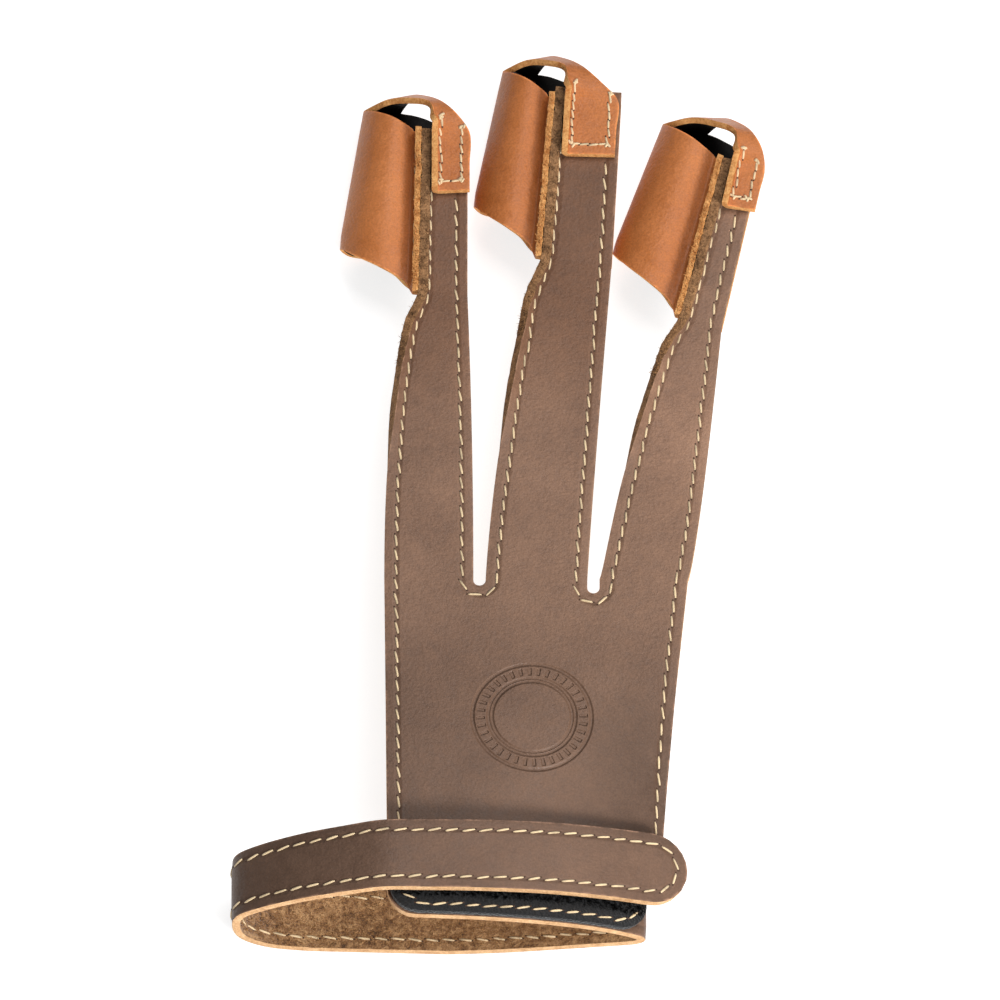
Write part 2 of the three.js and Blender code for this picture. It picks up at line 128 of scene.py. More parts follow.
# The hand leather, as it is cut
leather = {
    "thickness": 2.0,
    "pressedEdge": 0.84,  # share of the thickness
    "wristWidth": 57.8,
    "knuckleWidth": 64.4,
    "palmLength": 79.5,
    "cornerRadius": 6,
    "slotRadius": 1.3,
    "wristInset": 0.8,
    "palmHeight": 21,
    "knuckleHeight": 16.7,
    "slots": [(0.3137, 1), (0.6887, 0.976)],  # shares of knuckleWidth and palmLength
    "cell": 1.2,
}
seam = {
    "stripHeight": 11.5,
    "margin": 3.2,  # of the strip, turned up against the stall
    "turnRadius": 1.5,
    "length": 39.5,
    "gap": 0.35,
    "flange": 2.6,
}
fingers = [
    {"name": "index", "mouthX": 17.58, "mouthY": 152.22, "lean": 0, "sway": 2, "taper": 2.4,
     "mouthStrip": 7.9, "tipStrip": 7.2, "mouthWidth": 27.63, "tipWidth": 22.41, "mouthRise": 14.31,
     "tipRise": 8.16, "tabLength": 15.8, "tabOverhang": 0.48, "skew": 0.49, "stripEnd": -0.5},
    {"name": "middle", "mouthX": 48.43, "mouthY": 159.9, "lean": 3.1, "sway": 1.1, "taper": 2,
     "mouthStrip": 12.5, "tipStrip": 11.6, "mouthWidth": 30.7, "tipWidth": 26.0, "mouthRise": 15.3,
     "tipRise": 8.93, "tabLength": 15.01, "tabOverhang": -0.64, "skew": 0.42, "stripEnd": 1.3},
    {"name": "ring", "mouthX": 71.9, "mouthY": 144.55, "lean": 12, "sway": 0.78, "taper": 1.9,
     "mouthStrip": 6.4, "tipStrip": 5.3, "mouthWidth": 27.38, "tipWidth": 22.99, "mouthRise": 15.7,
     "tipRise": 9.01, "tabLength": 12.01, "tabOverhang": 1.44, "skew": 0.65, "stripEnd": -0.5},
]
wrist = {
    "archWidth": 53.1,
    "archHeight": 21.5,
    "loopWidth": 85.5,
    "strapWidth": 15.4,
    "strapRise": 5.2,  # the strap climbs this far up the hand on its way round
    "tail": 15.8,
    # shares of archWidth and archHeight
    "arch": [(0, 1), (0.147, 0.977), (0.316, 0.944), (0.467, 0.898), (0.665, 0.81), (0.863, 0.67),
             (1, 0.507)],
    # shares of loopWidth and archHeight, from the fold back along the floor and up round the left end
    "strap": [(0, 0.447), (0.012, 0.388), (0.04, 0.355), (0.101, 0.305), (0.198, 0.225), (0.346, 0.112),
              (0.487, 0.045), (0.65, 0), (0.814, 0.045), (0.925, 0.12), (0.984, 0.29), (1, 0.52),
              (0.99, 0.7), (0.94, 0.855), (0.841, 1.04), (0.718, 1.19)],
    "end": [(0.4, 0.81), (1, 0.65)],  # shares of tail and archHeight
    # shares of the strap's length and of strapWidth
    "widths": [(0, 0.92), (0.25, 0.95), (0.48, 0.94), (0.58, 0.99), (0.66, 1.02), (1, 1.05)],
}
tapes = {"loopSheet": 1.5, "hookSheet": 1.2, "loopWidth": 12.5, "hookInset": 1.5}


def layWristLine():
    stack = leather["thickness"] + tapes["loopSheet"] + tapes["hookSheet"] + 3 * seam["gap"]
    width, height = wrist["archWidth"], wrist["archHeight"]
    arch = [Vector((x * width, 0, z * height)) for x, z in wrist["arch"]]
    foldX = width + 1.3
    strap = [Vector((foldX - x * wrist["loopWidth"], 0, z * height)) for x, z in wrist["strap"]]
    under = measuredLine(arch, 0)
    over = [p + lineNormal(under, p.x / width * under["length"], 0.2) * stack for p in arch[:-1]]
    end = [Vector((over[-1].x + x * wrist["tail"], 0, z * height)) for x, z in wrist["end"]]
    return under, measuredLine(arch + strap + over + end, leather["thickness"] / 2)


archLine, wristLine = layWristLine()


def strapEdges(distance):  # the low and high edge of the strap, at a distance along the wrist line
    share = clamp((distance - leather["wristWidth"]) / (wristLine["length"] - leather["wristWidth"]))
    low = wrist["strapRise"] * share
    for (a, widthA), (b, widthB) in zip(wrist["widths"], wrist["widths"][1:]):
        if share <= b:
            return low, low + wrist["strapWidth"] * mix(widthA, widthB, (share - a) / (b - a))


strapRoot = strapEdges(leather["wristWidth"])[1]
slotTop = max(crotch for x, crotch in leather["slots"]) * leather["palmLength"]
knuckleLine = slotTop + 1.2 * leather["slotRadius"]


def palmPoint(x, y):
    bent = lineAt(wristLine, x)
    unrolled = ease(y, strapRoot - 2, strapRoot + 8)
    lifted = ease(y, strapRoot, strapRoot + 48)
    rise = (y - strapRoot) / (knuckleLine - strapRoot)
    flat = mix(leather["palmHeight"], leather["knuckleHeight"], rise)
    return Vector((mix(bent.x, x, unrolled), y, mix(bent.z, flat, lifted)))


# How far below a round corner or over a round slot's bottom its side lies
def roundCut(radius, height):
    return radius - math.sqrt(max(0, radius ** 2 - (radius - clamp(height, 0, radius)) ** 2))


def palmBorders(y, column):  # the left and right edge of one of the palm's three columns
    flare = max(0, (y - strapRoot) / (knuckleLine - strapRoot))
    left = roundCut(leather["cornerRadius"], y) + mix(leather["wristInset"], 0, flare)
    right = mix(leather["wristWidth"], leather["knuckleWidth"], flare)
    sides = [left]
    for x, crotch in leather["slots"]:
        half = leather["slotRadius"] - roundCut(leather["slotRadius"], y - crotch * leather["palmLength"])
        sides += [x * leather["knuckleWidth"] - half, x * leather["knuckleWidth"] + half]
    sides.append(right)
    return sides[2 * column], sides[2 * column + 1]


def palmLevels():
    levels = spread(leather["cornerRadius"], strapRoot, leather["cell"])
    levels += spread(strapRoot, knuckleLine, leather["cell"])
    rounds = [(leather["cornerRadius"], 0)]
    rounds += [(leather["slotRadius"], crotch * leather["palmLength"]) for x, crotch in leather["slots"]]
    for radius, start in rounds:
        low, high = start - 0.3, start + radius + 0.3
        levels = [y for y in levels if not low < y < high or y in (strapRoot, knuckleLine)]
        levels += [start + radius * (1 - math.cos(math.radians(turn))) for turn in range(0, 91, 15)]
    levels.sort()
    return [y for i, y in enumerate(levels) if i == 0 or y - levels[i - 1] > 1e-6]


def fingerPoint(finger, across, along, height):  # across is 0 at the strip's right edge
    lean = math.radians(finger["lean"])
    x = finger["mouthX"] + across * math.cos(lean) + along * math.sin(lean)
    y = finger["mouthY"] - across * math.sin(lean) + along * math.cos(lean)
    return Vector((x, y, height))


# How far out and up a margin reaches when it is turned up, at a distance past its fold
def marginReach(turn, past=seam["margin"], roundness=seam["turnRadius"]):
    bend = roundness * math.pi / 2
    inBend = min(past, bend)
    out, up = inBend, 0
    if turn > 0.001:
        radius = bend / turn
        out, up = radius * math.sin(inBend / radius), radius * (1 - math.cos(inBend / radius))
    return out + (past - inBend) * math.cos(turn), up + (past - inBend) * math.sin(turn)


# A point of a strip, share of the way across from its left edge, along from its stall's mouth
def stripPoint(finger, column, share, along):
    rootLeft, rootRight = palmBorders(knuckleLine, column)
    done = min(1, 1 + along / (finger["mouthY"] - knuckleLine))
    seamStrip = mix(finger["mouthStrip"], finger["tipStrip"], max(0, along) / seam["length"])
    turn = math.pi / 2 * (0.45 * ease(done, 0.35, 0.62) + 0.55 * ease(done, 0.7, 1))
    lateTurn = math.pi / 2 * ease(done, 0.8, 1)
    width = mix(rootRight - rootLeft, seamStrip + seam["margin"], done ** finger["taper"])
    width += marginReach(lateTurn)[0] - marginReach(turn)[0]  # what the turn takes, so the outline stays
    tilt = math.radians(finger["lean"]) * ease(done, 0, 1)
    height = mix(leather["knuckleHeight"], seam["stripHeight"], done)
    if along > 0:
        start = fingerPoint(finger, 0, along, height)
    else:
        x = mix(rootRight, finger["mouthX"], done ** finger["sway"])
        start = Vector((x, finger["mouthY"] + along, height))
    distance = acrossStrip(width, share)
    past = max(0, distance - (width - seam["margin"]))
    out, up = marginReach(turn, past)
    out += distance - past
    return Vector((start.x - out * math.cos(tilt), start.y + out * math.sin(tilt), start.z + up))


marginShare = 0.3  # of a strip's cells, which lie in the margin


def acrossStrip(width, share):  # the distance from the right edge, where share runs from the left edge
    if share < marginShare:
        return width - seam["margin"] * share / marginShare
    return (width - seam["margin"]) * (1 - share) / (1 - marginShare)


def ragged(spot, amount):  # moves a point of a raw edge a little in and out
    coarse, fine = noise.noise_vector(spot * 0.35), noise.noise_vector(spot * 1.1)
    return spot + (coarse * 0.6 + fine * 0.6) * amount


def makeHandLeather():
    mesh = bmesh.new()
    levels = palmLevels()
    for column, (finger, cells) in enumerate(zip(fingers, (20, 24, 24))):
        shares = [i / cells for i in range(cells + 1)]

        def palmPlace(share, y):
            left, right = palmBorders(y, column)
            return palmPoint(right - acrossStrip(right - left, share), y)

        addSheet(mesh, shares, levels, palmPlace)
        reach = finger["mouthY"] - knuckleLine
        steps = spread(-reach, 0, 0.9) + spread(0, seam["length"] + finger["stripEnd"], 0.7)[1:]

        def stripPlace(share, along):
            raw = 0.32 * ease(along, -0.6 * reach, 0) * (1 - ease(share, 0.02, 0.2))
            return ragged(stripPoint(finger, column, share, along), raw)

        addSheet(mesh, shares, steps, stripPlace)
    # The strap goes on from the panel's right edge, where its rows meet the panel's
    rows = [y / strapRoot for y in levels if y <= strapRoot + 1e-6]
    start, end = leather["wristWidth"], wristLine["length"]
    tipRadius = (strapEdges(end)[1] - wrist["strapRise"]) / 2

    def strapPlace(along, row):
        side = mix(2 * row - 1, -math.cos(math.pi * row), ease(along, 0.85, 0.97))
        rowEnd = end - tipRadius * (1 - math.sqrt(max(0, 1 - side * side)))
        distance = mix(start, rowEnd, along)
        low, high = strapEdges(distance)
        p = lineAt(wristLine, distance)
        return Vector((p.x, mix(low, high, (side + 1) / 2), p.z))

    addSheet(mesh, spread(0, 1, 1 / 210), rows, strapPlace)
    bmesh.ops.remove_doubles(mesh, verts=mesh.verts, dist=0.01)
    return mesh


# The finger stalls
stall = {
    "thickness": 1.3,
    "lining": 0.6,
    "liningGap": 0.3,
    "liningProud": 0.5,  # how far the lining shows past the rim
    "skived": 0.5,  # share of the thickness that is left at the mouth and the rim
    "tabInset": 1.0,
    "tabBorder": 2.3,  # turned up against the seam
    "tabRoundness": 0.8,
    "seamPress": 0.3,  # the sewing presses the two margins together
    # round the finger from the left seam: under, bulge, height, mouth, tip
    "rows": [(1, 0.08, 0.86, 0.18, 0.1), (1, 0.25, 0.95, 0.34, 0.22), (1, 0.5, 1, 0.49, 0.42),
             (1, 0.8, 0.86, 0.71, 0.67), (1, 1, 0.5, 0.97, 0.93), (1, 0.87, 0.16, 1, 1.04),
             (1, 0.4, 0.05, 0.98, 1.1), (0.6, 0, 0.05, 0.72, 0.76), (0.35, 0, 0.22, 0.35, 0.3),
             (0.27, 0, 0.55, 0.08, 0.12)],
    "tongueRows": (4, 6),  # the tongue grows out of the rim between these two
    # swing, along and height of the tongue's left edge, then of its right edge
    "tongue": [(0.69, 1.03, 0.667, 0.71, 1.36, 0.37), (0.41, 0.88, 0.89, 0.35, 1.04, 0.78),
               (0.13, 0.62, 1.07, 0.14, 0.7, 0.98), (0, 0.13, 1.08, 0.03, 0.32, 1.03),
               (0, -0.12, 1, 0, -0.1, 1), (0, -0.55, 1, 0, -0.54, 1), (0, -1, 1, 0, -0.98, 1)],
}
seamOffset = leather["thickness"] / 2 + seam["gap"] + stall["thickness"] / 2
seamRows = 2


def stallSection(finger, end):
    strip, width, rise = [finger[("mouth", "tip")[end] + part] for part in ("Strip", "Width", "Rise")]
    seamAcross = strip + seam["turnRadius"] + seamOffset
    bulge = width - stall["thickness"] / 2 - seamAcross
    height = seam["stripHeight"]
    top = height + seam["turnRadius"] + seam["margin"] - seam["turnRadius"] * math.pi / 2
    pressed = -seamAcross + stall["seamPress"]
    section = [Vector((pressed, 0, top)), Vector((pressed, 0, height))]
    for row in stall["rows"]:
        across = -(row[0] * seamAcross + row[1] * bulge)
        section.append(Vector((across, rise * row[3 + end], row[2] * height)))
    section.append(Vector((-seam["flange"], 0, height - seamOffset - 0.1 * seam["flange"])))
    section.append(Vector((0, 0, height - seamOffset)))
    return section


# A point of a stall's edge at a row of its section, moved inwards by inset
def stallEdge(finger, end, row, inset=0, endInset=0):
    section = stallSection(finger, end)
    share = row / (len(section) - 1)
    p = curvePoint(section, share)
    along = curvePoint(section, share + 0.002) - curvePoint(section, share - 0.002)
    along = Vector((along.x, 0, along.z)).normalized()
    p.z = max(p.z, stall["thickness"] / 2)
    p += Vector((-inset * along.z, 0, inset * along.x))
    p.y += seam["length"] - endInset if end else endInset
    return p


def stallPlace(finger, row, share, inset=0, endInset=0):
    p = stallEdge(finger, 0, row, inset, endInset).lerp(stallEdge(finger, 1, row, inset, endInset), share)
    return fingerPoint(finger, p.x, p.y, p.z)


def makeStall(finger):
    mesh = bmesh.new()
    lastRow = len(stall["rows"]) + seamRows + 1
    rows = [i / 6 for i in range(6 * lastRow + 1)]
    shares = [0, 0.012, 0.03] + spread(0.05, 0.95, 1 / 54) + [0.97, 0.988, 1]

    def bodyPlace(row, share):
        spot = stallPlace(finger, row, share)
        return ragged(spot, 0.3 * (1 - row)) if row < 1 else spot

    addSheet(mesh, rows, shares, bodyPlace)
    first, last = [row + seamRows for row in stall["tongueRows"]]
    tabHeight = seam["stripHeight"] + seamOffset
    tabLeft, tabRight = stall["tabInset"] - finger["tipStrip"], finger["tabOverhang"]
    rimLeft, rimRight = stall["thickness"] / 2 - finger["tipWidth"], stallEdge(finger, 1, last).x

    def tongueEnd(swingTo, rim, swing, along, height):
        reach = finger["tabLength"] if along < 0 else finger["tipRise"]
        x = mix(swingTo, rim, swing)
        return fingerPoint(finger, x, seam["length"] + along * reach, height * tabHeight)

    left = [stallPlace(finger, first, 1)]
    right = [stallPlace(finger, last, 1)]
    for row in stall["tongue"]:
        left.append(tongueEnd(tabLeft, rimLeft, row[0], row[1], row[2]))
        right.append(tongueEnd(tabRight, rimRight, row[3] ** finger["skew"], row[4], row[5]))

    def tonguePlace(row, share):
        across = (row - first) / (last - first)
        start, end = curvePoint(right, share), curvePoint(left, share)
        turned = ease(share, 0.42, 0.62)
        width, border = (end - start).length, stall["tabBorder"] * turned
        distance = (1 - across) * (width + border)
        past = max(0, distance - width)
        out, up = marginReach(math.pi / 2 * turned, past, stall["tabRoundness"])
        p = start + (end - start).normalized() * (distance - past + out) + Vector((0, 0, up))
        bow = stallPlace(finger, row, 1) - left[0].lerp(right[0], across)
        return p + bow * (1 - ease(share, 0, 0.14))

    addSheet(mesh, [row for row in rows if first <= row <= last], spread(0, 1, 1 / 48), tonguePlace)
    bmesh.ops.remove_doubles(mesh, verts=mesh.verts, dist=0.01)
    bmesh.ops.reverse_faces(mesh, faces=mesh.faces)
    return mesh


# The share of the full thickness at a place: the mouth and the rim are skived, the seam and the tab aren't
def stallThickness(finger, spot):
    lean = math.radians(finger["lean"])
    x, y = spot.x - finger["mouthX"], spot.y - finger["mouthY"]
    along, across = x * math.sin(lean) + y * math.cos(lean), x * math.cos(lean) - y * math.sin(lean)
    rise = finger["mouthRise"] * clamp((-across - finger["mouthStrip"] - 2) / 14)
    fromMouth = along - rise * 0.9
    bulge = ease(-across, finger["mouthStrip"] + 4, finger["mouthStrip"] + 8)
    return 1 - (1 - stall["skived"]) * bulge * (1 - ease(fromMouth, 0, 5))


def makeLining(finger):
    mesh = bmesh.new()
    inset = stall["thickness"] / 2 + stall["liningGap"] + stall["lining"] / 2
    rows = [mix(3, 11, i / 48) for i in range(49)]

    def place(row, share):
        proud = stall["liningProud"] + 0.25 * noise.noise(Vector((row * 3, finger["mouthX"], 0)))
        return stallPlace(finger, row, mix(0.025, 1 + proud / seam["length"], share), inset)

    addSheet(mesh, rows, spread(0, 1, 1 / 12), place)
    return mesh


# The hook-and-loop tapes
def makeTape(start, end, offset, edges, cell):
    mesh = bmesh.new()
    radius = leather["cornerRadius"]
    ends = [radius * (1 - math.cos(math.radians(turn))) for turn in range(0, 90, 15)]
    stations = [start + d for d in ends] + spread(start + radius, end - radius, cell)
    stations += [end - d for d in ends[::-1]]

    def place(share, distance):
        low, high = edges(distance)
        p = lineAt(wristLine, distance) + lineNormal(wristLine, distance) * offset
        return Vector((p.x, mix(low, high, share), p.z))

    addSheet(mesh, spread(0, 1, 1 / 12), stations, place)
    return mesh


def makeLoopTape():
    start, end = leather["wristInset"] + 0.5, archLine["length"] + 0.8
    offset = leather["thickness"] / 2 + seam["gap"] + tapes["loopSheet"] / 2

    def edges(distance):
        low = roundCut(leather["cornerRadius"], min(distance - start, end - distance))
        return low, tapes["loopWidth"]

    return makeTape(start, end, offset, edges, 1)


def makeHookTape():
    overStart = wristLine["length"] - archLine["length"] - 0.6 * wrist["tail"]
    start, end = [overStart + share * archLine["length"] for share in (0.12, 0.88)]
    offset = -(leather["thickness"] / 2 + seam["gap"] + tapes["hookSheet"] / 2)

    def edges(distance):
        low, high = strapEdges(distance)
        return low + tapes["hookInset"], high - tapes["hookInset"]

    return makeTape(start, end, offset, edges, 1.5)


# Marks every point of a sheet with its distance from the cut edge, for stitch lines and wear
def markEdges(mesh):
    layer = mesh.verts.layers.float.get("edgeDistance") or mesh.verts.layers.float.new("edgeDistance")
    rim = []
    for edge in mesh.edges:
        if edge.is_boundary:
            a, b = edge.verts[0].co, edge.verts[1].co
            steps = max(1, math.ceil((b - a).length / 0.3))
            rim += [a.lerp(b, i / steps) for i in range(steps)]
    tree = KDTree(len(rim))
    for i, point in enumerate(rim):
        tree.insert(point, i)
    tree.balance()
    for vert in mesh.verts:
        vert[layer] = tree.find(vert.co)[2]
    return [vert[layer] for vert in mesh.verts]


def meshData(mesh, name):
    data = bpy.data.meshes.new(name)
    mesh.to_mesh(data)
    mesh.free()
    return data


def newPiece(mesh, name, finishes):
    for vert in mesh.verts:
        vert.co = toScene(vert.co)
    for face in mesh.faces:
        face.smooth = True
    data = meshData(mesh, name)
    for finish in finishes:
        data.materials.append(finish)
    piece = bpy.data.objects.new(name, data)
    bpy.context.scene.collection.objects.link(piece)
    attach(piece, "root")
    return piece


# Turns a sheet's mesh into a piece with a wall, rounded cut edges and its finishes: face, back and edge
def finishSheet(mesh, name, thickness, finishes, nodes, edge=0.25, skived=None):
    markEdges(mesh)
    piece = newPiece(mesh, name, finishes)
    wall = piece.modifiers.new("wall", "SOLIDIFY")
    if skived:  # shares of the full thickness, one for each vertex
        group = piece.vertex_groups.new(name="thickness")
        for i, share in enumerate(skived):
            group.add([i], share, "REPLACE")
        wall.vertex_group = group.name
    wall.thickness = thickness / 1000
    wall.offset = 0
    wall.material_offset = min(1, len(finishes) - 1)
    wall.material_offset_rim = min(2, len(finishes) - 1)
    rounding = piece.modifiers.new("rounded edges", "BEVEL")
    rounding.width = edge / 1000
    rounding.segments = 2
    rounding.limit_method = "ANGLE"
    rounding.angle_limit = math.radians(50)
    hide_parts(*nodes)
    return piece


# Finishes. Patterns read object coordinates, so a size in millimetres is a scale of 1000 / size.
def newFinish(name, colour, roughness):
    material = bpy.data.materials.new(name)
    material.use_nodes = True
    tree = material.node_tree
    shader = tree.nodes["Principled BSDF"]
    shader.inputs["Base Color"].default_value = (*colour, 1)
    shader.inputs["Roughness"].default_value = roughness
    return material, tree, shader


def addNode(tree, kind, inputs=None, **settings):
    node = tree.nodes.new("ShaderNode" + kind)
    for key, value in settings.items():
        setattr(node, key, value)
    for key, value in (inputs or {}).items():
        if isinstance(value, bpy.types.NodeSocket):
            tree.links.new(value, node.inputs[key])
        else:
            node.inputs[key].default_value = value
    return node


def addMath(tree, operation, *values):
    node = addNode(tree, "Math", dict(enumerate(values)), operation=operation)
    return node.outputs[0]


def addNoise(tree, size, detail=3, roughness=0.55, stretch=None):
    where = addNode(tree, "TexCoord").outputs["Object"]
    if stretch:
        where = addNode(tree, "Mapping", {"Vector": where, "Scale": stretch}).outputs[0]
    inputs = {"Vector": where, "Scale": 1000 / size, "Detail": detail, "Roughness": roughness}
    return addNode(tree, "TexNoise", inputs).outputs["Fac"]


def addPebbles(tree, size, smoothness=0.5):
    where = addNode(tree, "TexCoord").outputs["Object"]
    inputs = {"Vector": where, "Scale": 1000 / size, "Smoothness": smoothness}
    return addNode(tree, "TexVoronoi", inputs, feature="SMOOTH_F1").outputs["Distance"]


def addRange(tree, value, low, high, start=0.0, end=1.0):
    inputs = {"Value": value, "From Min": low, "From Max": high, "To Min": start, "To Max": end}
    return addNode(tree, "MapRange", inputs, interpolation_type="SMOOTHSTEP").outputs[0]


def addRamp(tree, value, stops):
    node = addNode(tree, "ValToRGB", {"Fac": value})
    ramp = node.color_ramp
    while len(ramp.elements) < len(stops):
        ramp.elements.new(0.5)
    for element, (place, colour) in zip(ramp.elements, stops):
        element.position = place
        element.color = (*colour, 1)
    return node.outputs["Color"]


def blendColours(tree, share, first, second, blend="MIX"):
    node = addNode(tree, "Mix", data_type="RGBA", blend_type=blend)
    for socket, value in ((node.inputs[0], share), (node.inputs[6], first), (node.inputs[7], second)):
        if isinstance(value, bpy.types.NodeSocket):
            tree.links.new(value, socket)
        else:
            socket.default_value = value if isinstance(value, float) else (*value, 1)
    return node.outputs[2]


def addSum(tree, layers):  # layers: (value, share) pairs, added up
    total = None
    for value, share in layers:
        part = addMath(tree, "MULTIPLY", value, share)
        total = part if total is None else addMath(tree, "ADD", total, part)
    return total


def addBump(tree, shader, layers, distance):
    height = addSum(tree, layers)
    bump = addNode(tree, "Bump", {"Height": height, "Strength": 1.0, "Distance": distance / 1000})
    tree.links.new(bump.outputs[0], shader.inputs["Normal"])


def colourOf(*levels):  # linear values of a colour given as 0 to 255
    return tuple(((c / 255 + 0.055) / 1.055) ** 2.4 if c > 10 else c / 255 / 12.92 for c in levels)


stitching = {
    "inset": 2.45,
    "pitch": 3.6,
    "length": 3.0,
    "thread": 0.25,  # its radius
    "slant": 10,
}
roundel = {
    "x": 31.3,
    "y": 47.5,
    "rings": [12.6, 9.2, 8.5],
    "groove": 0.6,
    "rays": 36,
    "band": (9.9, 11.9),  # between these radii
    "softness": 0.3,
}


# 1 along the stitch line of a sheet, falling to 0 at its sides
def addStitchLine(tree, reach):
    distance = addNode(tree, "Attribute", attribute_name="edgeDistance").outputs["Fac"]
    off = addMath(tree, "ABSOLUTE", addMath(tree, "SUBTRACT", distance, stitching["inset"]))
    return addRange(tree, off, 0.0, reach, 1.0, 0.0), distance


# Painted light and shade on the brown leather, for how the lamps fall on its bends: painted lighter between
# the palm and the strips and on the ring strip, painted darker by the strap, at its left end, by its fold
# and towards the tips, and warmer on the two other strips. Each row holds two distances from the panel's
# corner, across or along it, and then the values there where they aren't 0 and 1.
paintedLightTone = {
    "palmAlong": (30, 104, 0.86, 1.36),
    "tipsAlong": (108, 152, 1, 0.71),
    "ringAcross": (50, 60),
    "ringAlong": (85, 130, 0, 0.42),
    "warmAlong": (100, 165),
    "warmest": (0.86, 0.74),  # the shares of green and blue that are left
    "foldAcross": (30, 58),
    "foldAlong": (15, 24, 0, 0.34),
    "foldEndAlong": (36, 64, 1, 0),
    "strapAcross": (-28, 14, 0.72, 1),
}


def addPaintedLightTone(tree):
    corner = toScene((0, 0, 0))
    parts = addNode(tree, "SeparateXYZ", {"Vector": addNode(tree, "TexCoord").outputs["Object"]})
    x, y = [addMath(tree, "MULTIPLY", addMath(tree, "SUBTRACT", parts.outputs[axis], start), 1000.0)
            for axis, start in (("X", corner.x), ("Y", corner.y))]

    def times(first, second):
        return addMath(tree, "MULTIPLY", first, second)

    def across(name):
        return addRange(tree, x, *paintedLightTone[name])

    def along(name):
        return addRange(tree, y, *paintedLightTone[name])

    ringSide = across("ringAcross")
    ring = times(ringSide, along("ringAlong"))
    warmth = times(addMath(tree, "SUBTRACT", 1.0, ringSide), along("warmAlong"))
    # painted shade on the panel by the strap's fold
    shadeByFold = times(times(across("foldAcross"), along("foldAlong")), along("foldEndAlong"))
    tone = addMath(tree, "ADD", ring, addMath(tree, "SUBTRACT", 1.0, shadeByFold))
    tone = times(times(times(along("palmAlong"), along("tipsAlong")), tone), across("strapAcross"))
    green, blue = [times(tone, addRange(tree, warmth, 0, 1, 1, least)) for least in paintedLightTone["warmest"]]
    return addNode(tree, "CombineColor", {"Red": tone, "Green": green, "Blue": blue}).outputs[0]


# The pressed roundel: plain rings, with a band of short rays between two of them
def addRoundel(tree):
    where = addNode(tree, "TexCoord").outputs["Object"]
    middle = toScene((roundel["x"], roundel["y"], 0))
    where = addNode(tree, "Mapping", {"Vector": where, "Location": (-middle.x, -middle.y, 0)}).outputs[0]
    parts = addNode(tree, "SeparateXYZ", {"Vector": where})
    x, y = parts.outputs["X"], parts.outputs["Y"]
    squares = addMath(tree, "ADD", addMath(tree, "MULTIPLY", x, x), addMath(tree, "MULTIPLY", y, y))
    radius = addMath(tree, "MULTIPLY", addMath(tree, "SQRT", squares), 1000.0)
    pressed = None
    for ring in roundel["rings"]:
        off = addMath(tree, "ABSOLUTE", addMath(tree, "SUBTRACT", radius, ring))
        groove = addRange(tree, off, 0.1, roundel["groove"], 1.0, 0.0)
        pressed = groove if pressed is None else addMath(tree, "MAXIMUM", pressed, groove)
    turn = addMath(tree, "MULTIPLY", addMath(tree, "ARCTAN2", y, x), float(roundel["rays"]))
    rays = addRange(tree, addMath(tree, "SINE", turn), 0.1, 0.8)
    low, high = roundel["band"]
    inner = addRange(tree, radius, low, low + roundel["softness"])
    outer = addRange(tree, radius, high - roundel["softness"], high, 1.0, 0.0)
    band = addMath(tree, "MULTIPLY", inner, outer)
    return addMath(tree, "MAXIMUM", pressed, addMath(tree, "MULTIPLY", rays, band))


def makeGrain(name, dark, light, roughness, sewn=False):
    material, tree, shader = newFinish(name, light, roughness)
    shader.inputs["Specular IOR Level"].default_value = 0.35
    clouds = addNoise(tree, 26, 3)
    patches = addNoise(tree, 2.6, 5, 0.65)
    pores = addNoise(tree, 0.42, 3, 0.7)
    pebbles = addPebbles(tree, 0.85)
    tone = addSum(tree, [(clouds, 0.6), (patches, 0.4)])
    colour = addRamp(tree, tone, [(0.32, dark), (0.68, light)])
    speckle = addRange(tree, pores, 0.3, 0.7, 0.84, 1.1)
    grey = addNode(tree, "CombineColor", {"Red": speckle, "Green": speckle, "Blue": speckle}).outputs[0]
    colour = blendColours(tree, 1.0, colour, grey, "MULTIPLY")
    if sewn:
        # painted light and shade over the panel and the strips, multiplied into their colour
        colour = blendColours(tree, 1.0, colour, addPaintedLightTone(tree), "MULTIPLY")
    line, distance = addStitchLine(tree, 0.9)
    nearEdge = addRange(tree, distance, 0.0, 0.5, 1.0, 0.0)
    worn = addMath(tree, "MULTIPLY", nearEdge, addRange(tree, patches, 0.4, 0.65))
    colour = blendColours(tree, worn, colour, tuple(min(1, c * 1.6) for c in light))
    layers = [(pebbles, 0.6), (pores, 0.9), (patches, 0.6)]
    if sewn:
        pressed = addRoundel(tree)
        layers += [(line, -1.8), (pressed, -2.6)]
        for mark, strength in ((line, 0.16), (pressed, 0.08)):
            shade = addMath(tree, "MULTIPLY", mark, strength)
            colour = blendColours(tree, shade, colour, tuple(c * 0.4 for c in dark))
    tree.links.new(colour, shader.inputs["Base Color"])
    gloss = addRange(tree, patches, 0.3, 0.7, roughness - 0.07, roughness + 0.07)
    tree.links.new(gloss, shader.inputs["Roughness"])
    addBump(tree, shader, layers, 0.11)
    return material


def makeSuede(name, dark, middle, light):
    material, tree, shader = newFinish(name, middle, 0.95)
    shader.inputs["Specular IOR Level"].default_value = 0.15
    shader.inputs["Sheen Weight"].default_value = 0.25
    shader.inputs["Sheen Roughness"].default_value = 0.5
    tufts = addNoise(tree, 1.5, 5, 0.75)
    nap = addNoise(tree, 0.35, 3, 0.7)
    clouds = addNoise(tree, 9, 3)
    tone = addSum(tree, [(tufts, 0.6), (nap, 0.25), (clouds, 0.15)])
    colour = addRamp(tree, tone, [(0.38, dark), (0.48, middle), (0.62, light)])
    tree.links.new(colour, shader.inputs["Base Color"])
    addBump(tree, shader, [(tufts, 1.0), (nap, 0.6)], 0.7)
    return material


